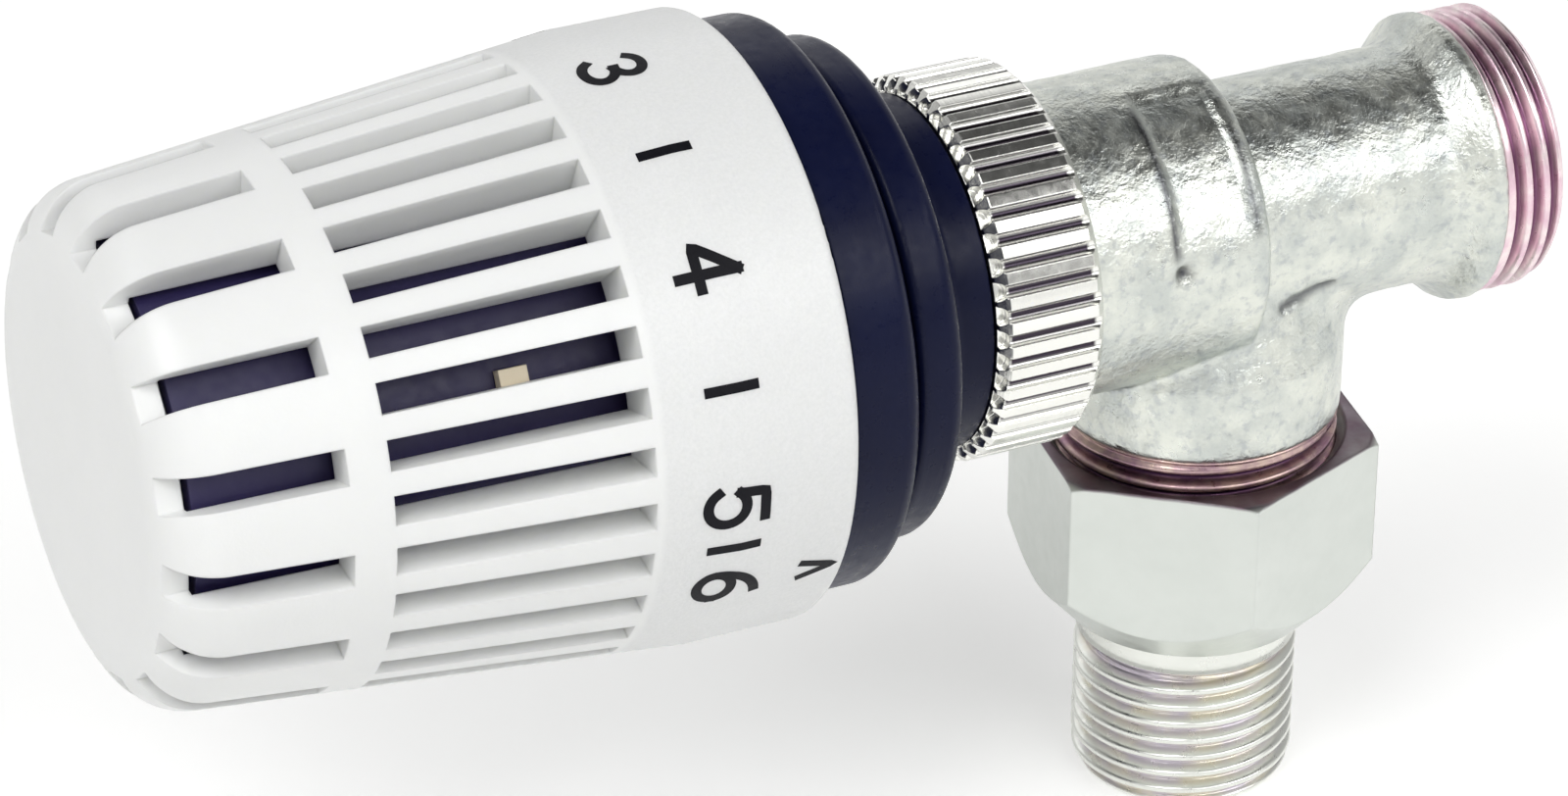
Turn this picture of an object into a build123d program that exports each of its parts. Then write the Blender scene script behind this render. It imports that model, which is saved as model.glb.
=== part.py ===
"""Return temperature limiter valve: axial valve body, union tail and a slotted setting head.

Millimetres, +Z up. The origin is the centre of the tail's open end, on the tail's axis. The head
points along -X and the pipe thread along +X, both on one axis above the origin. Places along that
axis count from the tail's axis, and angles round it from the top towards the front.
"""
from build123d import *
from math import cos, pi, tan
import os

# Frame: height of the head and pipe axis over the tail's end
AXIS_HEIGHT = 58.8

# Clearances
RUNNING = 0.05          # turning and sliding fits and threads
SEATED = 0.02           # between pieces that are pressed or screwed together
FREE = 0.3              # pieces that pass each other without touching

# Valve body
PIPE_END = 30.6         # pipe face, from the tail axis
PIPE_THREAD_R = 13.2
PIPE_THREAD_LENGTH = 6.2
PIPE_THREAD_CHAMFER = 0.6
PIPE_COLLAR_R = 13.5
PIPE_COLLAR_LENGTH = 1.2
PIPE_FLARE = 2.6        # length over which the pipe widens to its collar
PIPE_FLARE_ROUND = 3.0
PIPE_R = 11.1
PIPE_BORE_R = 8.0
PIPE_CONE_R = 9.2       # mouth of the sealing cone
PIPE_CONE_LENGTH = 2.2
BARREL_END = -0.4       # shoulder between barrel and pipe
BARREL_EDGE = 1.3       # rounding of that shoulder
NECK_THREAD_R = 15.0
NECK_STEP = 0.6         # neck thread over the barrel
NECK_THREAD_LENGTH = 4.7
NECK_END = -24.3        # face that the head sits on
NECK_BORE_R = 10.0
CHAMBER_R = 9.0
CHAMBER_START = -9.0
SEAT_X = 7.0            # valve seat face
SEAT_R = 5.5
SEAT_THICKNESS = 3.0
BRANCH_R = 13.4
BRANCH_TOP_R = 9.0      # the branch narrows into the pipe
BRANCH_SHOULDER = 12.5  # depth under the axis where it has its full radius
BRANCH_BORE_R = 8.5
BRANCH_LENGTH = 30.5    # from the axis to the branch's sealing face
BRANCH_THREAD_R = 13.2
BRANCH_THREAD_LENGTH = 11.0
BRANCH_THREAD_CHAMFER = 0.8
CROTCH_FILLET = 3.5
PANEL_START = -9.7      # sunk panel on the front of the barrel
PANEL_LENGTH = 7.3
PANEL_DEPTH = 0.5
PANEL_FROM = 10.0       # degrees
PANEL_TO = 82.0

# Union nut and tail
NUT_FLATS = 30.0
NUT_TURN = -38.4        # angle of one corner
NUT_HEIGHT = 18.5
NUT_HEX_HEIGHT = 12.6
NUT_TOP = 36.5          # over the tail's end
NUT_FOOT_R = 12.0
NUT_EDGE = 0.8          # top chamfer
NUT_MOUTH = 0.9         # chamfer at the thread's mouth
TAIL_FLANGE_R = 12.6
TAIL_FLANGE = 1.9
TAIL_SEAL = 1.0
TAIL_SEAL_WIDTH = 3.0
TAIL_NECK_R = 10.4
TAIL_THREAD_R = 10.45
TAIL_THREAD_LENGTH = 14.0
TAIL_RELIEF = 1.0       # undercut between thread and neck
TAIL_RELIEF_R = 9.5
TAIL_BORE_R = 7.5
TAIL_CHAMFER = 2.6      # length of the tapered thread end
TAIL_CHAMFER_IN = 1.6

# Knurled nut on the head
KNURL_WALL = 2.6        # over the neck thread
KNURL_END = -19.0       # open end
KNURL_LENGTH = 10.2
KNURL_FLANGE = 2.7
KNURL_FLUTES = 48
KNURL_PHASE = 3.0       # degrees
KNURL_FLUTE_R = 0.6
KNURL_CHAMFER = 0.9
KNURL_NOTCH_R = 0.85    # the flutes widen at the scalloped end
SPIGOT_R = 13.0
RING_CLEAR = 0.6        # between the nut's thread and the snap ring that holds it on the head
RING_DEPTH = 0.9        # its groove in the spigot
RING_THICKNESS = 1.1
RING_GAP = 20.0         # degrees

# Head base
COLLAR_R = 16.2
COLLAR_LENGTH = 3.9
SMALL_DISC_STEP = 3.0   # small disc under the large disc's radius
SMALL_DISC_SLOPE = 2.4
SMALL_DISC_RIM = 4.0
WAIST_DEPTH = 1.3
WAIST_LENGTH = 1.2
LARGE_DISC_STEP = 1.7   # large disc under the handwheel's radius
LARGE_DISC_RIM = 6.3
DISC_EDGE = 1.5
BASE_SEAT = 4.3         # depth in which the sensor housing sits
BASE_CORE_R = 18.6      # ring-shaped hollow behind the discs
BASE_CORE_WIDTH = 3.4
BASE_CORE_DEPTH = 6.5
LIP_LENGTH = 4.5        # lip inside the handwheel's rear
LIP_WALL = 2.0
BEAD = 0.5              # snap bead on the lip
BEAD_WIDTH = 1.4
CAP_GAP = 0.5           # between handwheel and base

# Handwheel
WHEEL_LENGTH = 60.4
WHEEL_END_R = 22.7      # cone carried on to the end face
WHEEL_REAR_R = 27.5
WHEEL_RING = 10.9       # cylindrical part
WHEEL_SHOULDER = 5.6
WHEEL_REAR_EDGE = 0.9
WHEEL_WALL = 2.5        # of the number ring
WHEEL_END_WALL = 2.6
SLOT_COUNT = 32
SLOT_PHASE = 4.1        # degrees
SLOT_WIDTH = 2.7
SLOT_FROM = 18.65       # rear row, from the wheel's rear edge
SLOT_LENGTH = 22.65
FRONT_SLOT_PHASE = 4.7
FRONT_SLOT_WIDTH = 3.2
FRONT_SLOT_FROM = 44.9
FRONT_SLOT_UNDER = 0.1  # depth of the front row under the sensor housing's radius
RIB_GAP_FRONT = 0.7     # between the deep ribs that divide the windows and the sensor housing
RIB_GAP_REAR = 2.1
JOURNAL_R = 13.0        # bearing of the wheel on the sensor housing
JOURNAL_WALL = 2.0
JOURNAL_LENGTH = 5.0
DRIVE_R = 8.0           # drive thread between wheel and sensor carrier
DRIVE_WALL = 2.2
DRIVE_LENGTH = 8.6
DRIVE_LEAD = 6.0        # carrier travel for one turn of the wheel
TURN_UP = 111.0         # degrees of travel to the highest number
TURN_DOWN = 92.0        # degrees of travel to the lowest number
STOP_X = -75.8          # place of the stops along the axis
STOP_RIB_ANGLE = -35.3
STOP_RIB_WIDTH = 5.0    # degrees
STOP_RIB_LENGTH = 3.0
STOP_GAP = 1.0          # degrees left at each stop
CLIP_WIDTH = 6.0        # degrees
CLIP_LENGTH = 2.6
CLIP_ROOT = 1.0
CLIP_CLEAR = 0.4        # under the handwheel's ribs

# Sensor
HOUSING_R = 19.5
HOUSING_WALL = 1.8
HOUSING_END_GAP = 0.6   # between its rim and the handwheel's end wall
HOUSING_FRONT_WALL = 2.0
HOUSING_RIM = 6.0       # rim in front of that wall, behind the wheel's front slots
KEY_WIDTH = 3.0
KEY_REACH = 0.9
CARRIER_STEM = 8.6
CARRIER_GAP = 0.55      # to the housing's front wall when fully open
CARRIER_FLOOR = 2.2
CARRIER_LENGTH = 7.0
CARRIER_WALL = 1.6
CAPSULE_R = 14.0
CAPSULE_LENGTH = 27.0
CAPSULE_EDGE = 1.5
SNOUT_R = 9.0
SNOUT_LENGTH = 12.5
CONDUCTOR_R = 11.4
CONDUCTOR_FRONT = -60.0
CONDUCTOR_WEB = -44.0   # wall that guides the push rod
CONDUCTOR_WEB_LENGTH = 4.0
CONDUCTOR_NOSE_R = 8.4
ROD_R = 2.5
ROD_SOCKET = 8.0
TIP_GAP = 0.05          # push rod to spindle
OVER_WIRE = 1.2
OVER_R = 12.9
OVER_TURNS = 6

# Valve insert
INSERT_HEX = 14.0
INSERT_HEX_LENGTH = 4.2
INSERT_GROOVE = 1.2
INSERT_GROOVE_WIDTH = 2.0
INSERT_GROOVE_FROM = 4.0
SPRING_ROOM_R = 6.0
SPRING_ROOM = 12.0
GLAND_R = 4.0
GLAND_DEPTH = 4.5
GLAND_HEX = 9.0
GLAND_HEX_LENGTH = 2.5
GLAND_RING = 1.8        # room for the gland's seal ring
SPINDLE_R = 1.5
SPINDLE_TIP = -36.0
STEM_R = 2.0
SPINDLE_FLANGE_R = 5.0
SPINDLE_FLANGE = 1.0
SPRING_WIRE = 0.8
SPRING_R = 4.0
SPRING_TURNS = 4
GUIDE_LENGTH = 2.3
SHUT_GAP = 0.06         # left between plate and seat at the lowest number
PLATE_R = 6.9
PLATE_THICKNESS = 1.4
PLATE_SEAL = 1.4
WASHER_R = 3.4
WASHER_THICKNESS = 0.8

# Places and radii that follow from the sizes above
BARREL_R = NECK_THREAD_R - NECK_STEP
KNURL_R = NECK_THREAD_R + KNURL_WALL
RING_R = NECK_THREAD_R - RING_CLEAR
LARGE_DISC_R = WHEEL_REAR_R - LARGE_DISC_STEP
SMALL_DISC_R = LARGE_DISC_R - SMALL_DISC_STEP
OPEN_TRAVEL = DRIVE_LEAD * TURN_UP / 360
SHUT_TRAVEL = DRIVE_LEAD * TURN_DOWN / 360
KNURL_START = KNURL_END - KNURL_LENGTH
KNURL_FLOOR = KNURL_START + KNURL_FLANGE
COLLAR_END = KNURL_START - FREE
SLOPE_START = COLLAR_END - COLLAR_LENGTH
SMALL_DISC_END = SLOPE_START - SMALL_DISC_SLOPE
WAIST_END = SMALL_DISC_END - SMALL_DISC_RIM
LARGE_DISC_END = WAIST_END - WAIST_LENGTH
BASE_FRONT = LARGE_DISC_END - LARGE_DISC_RIM
BASE_FLOOR = BASE_FRONT + BASE_SEAT
WHEEL_REAR = BASE_FRONT - CAP_GAP
WHEEL_FRONT = WHEEL_REAR - WHEEL_LENGTH
WHEEL_INNER_END = WHEEL_FRONT + WHEEL_END_WALL
WHEEL_RING_START = WHEEL_REAR - WHEEL_RING
WHEEL_RATE = (WHEEL_REAR_R - WHEEL_END_R) / (WHEEL_LENGTH - WHEEL_RING)
WHEEL_BORE_R = WHEEL_REAR_R - WHEEL_WALL
LIP_R = WHEEL_BORE_R - FREE
LIP_FRONT = WHEEL_REAR - LIP_LENGTH
HOUSING_BORE_R = HOUSING_R - HOUSING_WALL
HOUSING_FRONT = WHEEL_INNER_END + HOUSING_END_GAP + HOUSING_RIM
FRONT_SLOT_FLOOR_R = HOUSING_R - FRONT_SLOT_UNDER
CARRIER_FRONT = HOUSING_FRONT + HOUSING_FRONT_WALL + OPEN_TRAVEL + CARRIER_GAP
CAPSULE_FRONT = CARRIER_FRONT + CARRIER_FLOOR
CAPSULE_REAR = CAPSULE_FRONT + CAPSULE_LENGTH
SNOUT_END = CAPSULE_REAR + SNOUT_LENGTH
FLANGE_TOP = AXIS_HEIGHT - BRANCH_LENGTH - TAIL_SEAL
FLANGE_BOTTOM = FLANGE_TOP - TAIL_FLANGE
NUT_BOTTOM = NUT_TOP - NUT_HEIGHT
INSERT_OUTER = NECK_END - INSERT_HEX_LENGTH
GLAND_END = INSERT_OUTER + GLAND_DEPTH
SPRING_ROOM_START = CHAMBER_START - SPRING_ROOM
GUIDE_START = CHAMBER_START - GUIDE_LENGTH
SPINDLE_FLANGE_X = SPRING_ROOM_START + OPEN_TRAVEL + FREE
PLATE_FACE = SEAT_X - SHUT_TRAVEL - SHUT_GAP
PLATE_BACK = PLATE_FACE - PLATE_SEAL - PLATE_THICKNESS
HEAD_AXIS = Location((0, 0, AXIS_HEIGHT))


def wheel_radius(x):
    """Outer radius of the handwheel's cone at a place along the axis."""
    return WHEEL_END_R + WHEEL_RATE * (x - WHEEL_FRONT)


def wheel_inside(x):
    """Inner radius of the handwheel under its ribs at a place along the axis."""
    share = (x - WHEEL_INNER_END) / (WHEEL_RING_START - WHEEL_INNER_END)
    return HOUSING_R + RIB_GAP_FRONT + (RIB_GAP_REAR - RIB_GAP_FRONT) * share


def turned(points, rounds=None):
    """Solid turned about the head axis from (place, radius) points, some corners rounded."""
    radii = [0.0] * len(points)
    for corner, radius in (rounds or {}).items():
        radii[points.index(corner)] = radius
    return revolve(make_face(FilletPolyline(*points, radius=radii, close=True)), Axis.X, 360)


def turned_up(points):
    """Solid turned about the tail axis from (radius, height) points."""
    corners = [(radius, 0, height) for radius, height in points]
    return revolve(make_face(Polyline(*corners, close=True)), Axis.Z, 360)


def rod_x(start, end, radius):
    """Round bar along the head axis."""
    return turned([(start, 0), (end, 0), (end, radius), (start, radius)])


def tube_x(start, end, inner, outer):
    """Tube along the head axis."""
    return turned([(start, inner), (end, inner), (end, outer), (start, outer)])


def hex_x(start, end, flats):
    """Six-sided bar along the head axis."""
    section = Plane.YZ.offset(start) * RegularPolygon(flats / 2, 6, major_radius=False)
    return extrude(section, end - start)


def at_angle(solid, degrees):
    """Turn a solid that stands over the head axis from the top towards the front."""
    return Rotation(degrees, 0, 0) * solid


def sector_x(start, end, inner, outer, middle, width):
    """Part of a tube along the head axis, round a middle angle."""
    section = make_face(Polyline((start, 0, inner), (end, 0, inner), (end, 0, outer),
                                 (start, 0, outer), close=True))
    return at_angle(revolve(section, Axis.X, width), middle - width / 2)


def block_x(start, end, width, inner, outer):
    """Straight-sided bar over the head axis, between two heights."""
    bar = Box(end - start, width, outer - inner, align=(Align.MIN, Align.CENTER, Align.MIN))
    return Location((start, 0, inner)) * bar


def ring_x(place, radius, section):
    """Round rubber ring about the head axis."""
    return revolve(Location((place, radius)) * Circle(section), Axis.X, 360)


def coil_x(start, end, radius, wire, turns):
    """Wire spring along the head axis."""
    length = end - start - wire
    path = Helix(length / turns, length, radius)
    coil = sweep(Plane(origin=path @ 0, z_dir=path % 0) * Circle(wire / 2), path, is_frenet=True)
    return Location((start + wire / 2, 0, 0)) * Rotation(0, 90, 0) * coil


def body_castings():
    """Barrel, pipe and branch, run together with a rounded crotch."""
    thread_start = PIPE_END - PIPE_THREAD_LENGTH
    collar_start = thread_start - PIPE_COLLAR_LENGTH
    flare_start = collar_start - PIPE_FLARE
    branch_end = BRANCH_THREAD_LENGTH - BRANCH_LENGTH
    pipe = rod_x(NECK_END, flare_start, PIPE_R)
    branch = turned_up([(0, branch_end), (BRANCH_R, branch_end), (BRANCH_R, -BRANCH_SHOULDER),
                        (BRANCH_TOP_R, 0), (0, 0)])
    elbow = pipe + branch
    crotch = elbow.edges().filter_by(lambda edge: edge.geom_type not in (GeomType.CIRCLE, GeomType.LINE))
    elbow = fillet(crotch, CROTCH_FILLET)
    barrel_corner = (BARREL_END, BARREL_R)
    barrel = turned([(NECK_END, 0), (BARREL_END, 0), barrel_corner, (NECK_END, BARREL_R)],
                    {barrel_corner: BARREL_EDGE})
    flare_foot = (flare_start, PIPE_R)
    flare = turned([(flare_start - PIPE_FLARE, 0), (thread_start, 0), (thread_start, PIPE_COLLAR_R),
                    (collar_start, PIPE_COLLAR_R), flare_foot, (flare_start - PIPE_FLARE, PIPE_R)],
                   {flare_foot: PIPE_FLARE_ROUND})
    return elbow + barrel + flare


def valve_body():
    """Cast body with its threads, bores and valve seat."""
    thread_start = PIPE_END - PIPE_THREAD_LENGTH
    cone_start = PIPE_END - PIPE_CONE_LENGTH
    branch_end = -BRANCH_LENGTH
    thread_top = branch_end + BRANCH_THREAD_LENGTH
    body = body_castings()
    body += turned([(thread_start, 0), (PIPE_END, 0), (PIPE_END, PIPE_THREAD_R - PIPE_THREAD_CHAMFER),
                    (PIPE_END - PIPE_THREAD_CHAMFER, PIPE_THREAD_R), (thread_start, PIPE_THREAD_R)])
    body += turned_up([(0, branch_end), (BRANCH_THREAD_R - BRANCH_THREAD_CHAMFER, branch_end),
                       (BRANCH_THREAD_R, branch_end + BRANCH_THREAD_CHAMFER),
                       (BRANCH_THREAD_R, thread_top), (0, thread_top)])
    body += rod_x(NECK_END, NECK_END + NECK_THREAD_LENGTH, NECK_THREAD_R - RUNNING)
    body -= sector_x(PANEL_START, PANEL_START + PANEL_LENGTH, BARREL_R - PANEL_DEPTH,
                     BARREL_R + PANEL_DEPTH, (PANEL_FROM + PANEL_TO) / 2, PANEL_TO - PANEL_FROM)
    body -= rod_x(NECK_END, CHAMBER_START, NECK_BORE_R)
    body -= rod_x(CHAMBER_START, SEAT_X, CHAMBER_R)
    body -= rod_x(SEAT_X, SEAT_X + SEAT_THICKNESS, SEAT_R)
    body -= rod_x(SEAT_X + SEAT_THICKNESS, PIPE_END, PIPE_BORE_R)
    body -= turned([(cone_start, 0), (PIPE_END, 0), (PIPE_END, PIPE_CONE_R), (cone_start, PIPE_BORE_R)])
    body -= turned_up([(0, branch_end), (BRANCH_BORE_R, branch_end), (BRANCH_BORE_R, 0), (0, 0)])
    return HEAD_AXIS * body


def union_nut():
    """Six-sided swivel nut with a conical foot, turning on the tail's flange."""
    corner_r = NUT_FLATS / 2 / cos(pi / 6)
    floor = FLANGE_BOTTOM - RUNNING
    thread_r = BRANCH_THREAD_R + RUNNING
    hole_r = TAIL_NECK_R + FREE
    hexagon = Rotation(0, 0, NUT_TURN) * RegularPolygon(NUT_FLATS / 2, 6, major_radius=False)
    prism = extrude(Location((0, 0, NUT_BOTTOM)) * hexagon, NUT_HEIGHT)
    envelope = turned_up([(0, NUT_BOTTOM), (NUT_FOOT_R, NUT_BOTTOM), (corner_r, NUT_TOP - NUT_HEX_HEIGHT),
                          (corner_r, NUT_TOP - NUT_EDGE * tan(pi / 6)), (corner_r - NUT_EDGE, NUT_TOP),
                          (0, NUT_TOP)])
    nut = prism & envelope
    nut -= turned_up([(0, floor), (thread_r, floor), (thread_r, NUT_TOP - NUT_MOUTH),
                      (thread_r + NUT_MOUTH, NUT_TOP), (0, NUT_TOP)])
    nut -= turned_up([(0, NUT_BOTTOM), (hole_r, NUT_BOTTOM), (hole_r, floor), (0, floor)])
    return nut


def tail_piece():
    """Threaded tail with the flange that the union nut pulls against the body."""
    neck_start = TAIL_THREAD_LENGTH + TAIL_RELIEF
    return turned_up([(TAIL_BORE_R, 0), (TAIL_THREAD_R - TAIL_CHAMFER_IN, 0),
                      (TAIL_THREAD_R, TAIL_CHAMFER), (TAIL_THREAD_R, TAIL_THREAD_LENGTH),
                      (TAIL_RELIEF_R, TAIL_THREAD_LENGTH), (TAIL_RELIEF_R, neck_start),
                      (TAIL_NECK_R, neck_start), (TAIL_NECK_R, FLANGE_BOTTOM),
                      (TAIL_FLANGE_R, FLANGE_BOTTOM), (TAIL_FLANGE_R, FLANGE_TOP),
                      (TAIL_BORE_R, FLANGE_TOP)])


def tail_seal():
    """Flat ring between the tail's flange and the body."""
    top = FLANGE_TOP + TAIL_SEAL
    outer = BRANCH_THREAD_R - BRANCH_THREAD_CHAMFER
    inner = outer - TAIL_SEAL_WIDTH
    return turned_up([(inner, FLANGE_TOP), (outer, FLANGE_TOP), (outer, top), (inner, top)])


def knurled_nut():
    """Fluted nut that holds the head on the neck; its outer end has a scalloped edge."""
    hole_r = SPIGOT_R + RUNNING
    rim_r = KNURL_R - KNURL_CHAMFER
    nut = turned([(KNURL_START, hole_r), (KNURL_FLOOR, hole_r), (KNURL_FLOOR, NECK_THREAD_R),
                  (KNURL_END, NECK_THREAD_R), (KNURL_END, rim_r), (KNURL_END - KNURL_CHAMFER, KNURL_R),
                  (KNURL_START + KNURL_CHAMFER, KNURL_R), (KNURL_START, rim_r)])
    flute = Location((0, 0, KNURL_R)) * Rotation(0, 90, 0) * Cylinder(KNURL_FLUTE_R, KNURL_LENGTH * 2)
    flute = Location(((KNURL_START + KNURL_END) / 2, 0, 0)) * flute
    notch_height = KNURL_R - COLLAR_R
    notch = Location((KNURL_START, 0, KNURL_R)) * Cylinder(KNURL_NOTCH_R, notch_height * 2)
    angles = [KNURL_PHASE + 360 / KNURL_FLUTES * i for i in range(KNURL_FLUTES)]
    cuts = [at_angle(cut, angle) for cut in (flute, notch) for angle in angles]
    return HEAD_AXIS * (nut - cuts)


def snap_ring():
    """Split ring in the spigot's groove; it keeps the knurled nut on the head."""
    start = KNURL_FLOOR + RUNNING
    inner = SPIGOT_R - RING_DEPTH + SEATED
    return HEAD_AXIS * sector_x(start, start + RING_THICKNESS, inner, RING_R, 180, 360 - RING_GAP)


def head_base():
    """Plastic base: two rounded discs, a collar, the spigot in the nut and the lip in the wheel."""
    bore_r = CONDUCTOR_R + SEATED
    groove_end = KNURL_FLOOR + RING_THICKNESS + 2 * RUNNING
    waist_r = SMALL_DISC_R - WAIST_DEPTH
    small_rear = (SMALL_DISC_END, SMALL_DISC_R)
    small_front = (WAIST_END, SMALL_DISC_R)
    large_rear = (LARGE_DISC_END, LARGE_DISC_R)
    collar_foot = (SLOPE_START, COLLAR_R)
    base = turned([(BASE_FRONT, bore_r), (NECK_END, bore_r), (NECK_END, SPIGOT_R), (COLLAR_END, SPIGOT_R),
                   (COLLAR_END, COLLAR_R), collar_foot, small_rear, small_front, (WAIST_END, waist_r),
                   (LARGE_DISC_END, waist_r), large_rear, (BASE_FRONT, LARGE_DISC_R)],
                  {collar_foot: DISC_EDGE, small_rear: DISC_EDGE, small_front: DISC_EDGE / 2,
                   large_rear: DISC_EDGE})
    bead_start = LIP_FRONT + BEAD
    base += tube_x(LIP_FRONT, BASE_FRONT, LIP_R - LIP_WALL, LIP_R)
    base += tube_x(bead_start, bead_start + BEAD_WIDTH, LIP_R - LIP_WALL / 2, LIP_R + BEAD)
    base -= tube_x(KNURL_FLOOR, groove_end, SPIGOT_R - RING_DEPTH, SPIGOT_R + RING_DEPTH)
    base -= tube_x(BASE_FRONT, BASE_FLOOR, bore_r, HOUSING_R + SEATED)
    base -= tube_x(BASE_FLOOR, BASE_FLOOR + BASE_CORE_DEPTH, BASE_CORE_R - BASE_CORE_WIDTH, BASE_CORE_R)
    return HEAD_AXIS * base


def wheel_slots():
    """Cutters for the two rows of windows in the handwheel."""
    rear_end = WHEEL_REAR - SLOT_FROM
    front_end = WHEEL_REAR - FRONT_SLOT_FROM
    outside = WHEEL_REAR_R + WHEEL_WALL
    rear = block_x(rear_end - SLOT_LENGTH, rear_end, SLOT_WIDTH, HOUSING_R, outside)
    front = block_x(WHEEL_FRONT - WHEEL_WALL, front_end, FRONT_SLOT_WIDTH, FRONT_SLOT_FLOOR_R, outside)
    front_count = SLOT_COUNT // 2
    cuts = [at_angle(rear, SLOT_PHASE + 360 / SLOT_COUNT * i) for i in range(SLOT_COUNT)]
    cuts += [at_angle(front, FRONT_SLOT_PHASE + 360 / front_count * i) for i in range(front_count)]
    return cuts


def handwheel():
    """Conical setting wheel with windows, bearing boss, drive sleeve and stop rib."""
    shoulder = (WHEEL_FRONT, wheel_radius(WHEEL_FRONT))
    rear_edge = (WHEEL_REAR, WHEEL_REAR_R)
    wheel = turned([(WHEEL_FRONT, 0), shoulder, (WHEEL_RING_START, WHEEL_REAR_R), rear_edge,
                    (WHEEL_REAR, WHEEL_BORE_R), (WHEEL_RING_START, WHEEL_BORE_R),
                    (WHEEL_RING_START, wheel_inside(WHEEL_RING_START)),
                    (WHEEL_INNER_END, wheel_inside(WHEEL_INNER_END)), (WHEEL_INNER_END, 0)],
                   {shoulder: WHEEL_SHOULDER, rear_edge: WHEEL_REAR_EDGE})
    wheel -= wheel_slots()
    journal_bore = JOURNAL_R + RUNNING
    drive_bore = DRIVE_R + RUNNING
    wheel += tube_x(WHEEL_FRONT + WHEEL_END_WALL / 2, HOUSING_FRONT - CAP_GAP, journal_bore,
                    journal_bore + JOURNAL_WALL)
    wheel += tube_x(WHEEL_FRONT + WHEEL_END_WALL / 2, WHEEL_INNER_END + DRIVE_LENGTH, drive_bore,
                    drive_bore + DRIVE_WALL)
    rib_root = (wheel_radius(STOP_X) + wheel_inside(STOP_X)) / 2
    wheel += sector_x(STOP_X - STOP_RIB_LENGTH / 2, STOP_X + STOP_RIB_LENGTH / 2, HOUSING_R + FREE,
                      rib_root, STOP_RIB_ANGLE, STOP_RIB_WIDTH)
    groove_start = LIP_FRONT + BEAD - FREE
    groove_end = groove_start + BEAD_WIDTH + 2 * FREE
    wheel -= tube_x(groove_start, groove_end, WHEEL_BORE_R - FREE, LIP_R + BEAD + FREE)
    return HEAD_AXIS * wheel


def clip_angles():
    """Angles of the two stop clips: past the lowest and past the highest number."""
    reach = STOP_RIB_WIDTH / 2 + STOP_GAP + CLIP_WIDTH / 2
    return STOP_RIB_ANGLE + TURN_DOWN + reach, STOP_RIB_ANGLE - TURN_UP - reach


def stop_clip(angle, play=0.0):
    """Stop clip pressed into the sensor housing, or its pocket where play is given."""
    start = STOP_X - CLIP_LENGTH / 2 - play
    width = CLIP_WIDTH + 2 * play
    return sector_x(start, start + CLIP_LENGTH + 2 * play, HOUSING_R - CLIP_ROOT - play,
                    wheel_inside(STOP_X) - CLIP_CLEAR, angle, width)


def low_stop_clip():
    """Clip that stops the wheel at the lowest number."""
    return HEAD_AXIS * stop_clip(clip_angles()[0])


def high_stop_clip():
    """Clip that stops the wheel at the highest number."""
    return HEAD_AXIS * stop_clip(clip_angles()[1])


def sensor_housing():
    """Dark drum inside the wheel: front rim, bearing journal, key slot and pockets for the stop clips."""
    floor_end = HOUSING_FRONT + HOUSING_FRONT_WALL
    rim_front = HOUSING_FRONT - HOUSING_RIM
    journal_front = HOUSING_FRONT - JOURNAL_LENGTH
    journal_bore = DRIVE_R + RUNNING + DRIVE_WALL + FREE
    drum = turned([(journal_front, journal_bore), (floor_end, journal_bore), (floor_end, HOUSING_BORE_R),
                   (BASE_FLOOR, HOUSING_BORE_R), (BASE_FLOOR, HOUSING_R), (rim_front, HOUSING_R),
                   (rim_front, HOUSING_BORE_R), (HOUSING_FRONT, HOUSING_BORE_R),
                   (HOUSING_FRONT, JOURNAL_R), (journal_front, JOURNAL_R)])
    slot_end = CARRIER_FRONT + CARRIER_LENGTH + SHUT_TRAVEL + FREE
    drum -= block_x(floor_end, slot_end, KEY_WIDTH + 2 * RUNNING, CAPSULE_R,
                    HOUSING_BORE_R + KEY_REACH + RUNNING)
    for angle in clip_angles():
        drum -= stop_clip(angle, SEATED)
    return HEAD_AXIS * drum


def sensor_carrier():
    """Keyed carrier that the wheel's drive thread moves along the axis."""
    flange_r = HOUSING_BORE_R - RUNNING
    socket_r = CAPSULE_R + SEATED
    cup_r = socket_r + CARRIER_WALL
    cup_end = CARRIER_FRONT + CARRIER_LENGTH
    stem_front = CARRIER_FRONT - CARRIER_STEM
    carrier = turned([(stem_front, 0), (CAPSULE_FRONT, 0), (CAPSULE_FRONT, socket_r), (cup_end, socket_r),
                      (cup_end, cup_r), (CAPSULE_FRONT, cup_r), (CAPSULE_FRONT, flange_r),
                      (CARRIER_FRONT, flange_r), (CARRIER_FRONT, DRIVE_R), (stem_front, DRIVE_R)])
    carrier += block_x(CARRIER_FRONT, cup_end, KEY_WIDTH, socket_r + SEATED, HOUSING_BORE_R + KEY_REACH)
    return HEAD_AXIS * carrier


def sensor_capsule():
    """Filled metal capsule whose snout slides in the heat conductor."""
    front = (CAPSULE_FRONT, CAPSULE_R)
    rear = (CAPSULE_REAR, CAPSULE_R)
    snout_r = SNOUT_R - RUNNING
    capsule = turned([(CAPSULE_FRONT, 0), front, rear, (CAPSULE_REAR, snout_r), (SNOUT_END, snout_r),
                      (SNOUT_END, 0)], {front: CAPSULE_EDGE, rear: CAPSULE_EDGE / 2})
    return HEAD_AXIS * (capsule - rod_x(SNOUT_END - ROD_SOCKET, SNOUT_END, ROD_R + SEATED))


def push_rod():
    """Rod that carries the capsule's stroke to the spindle."""
    return HEAD_AXIS * rod_x(SNOUT_END - ROD_SOCKET, SPINDLE_TIP - TIP_GAP, ROD_R)


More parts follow.
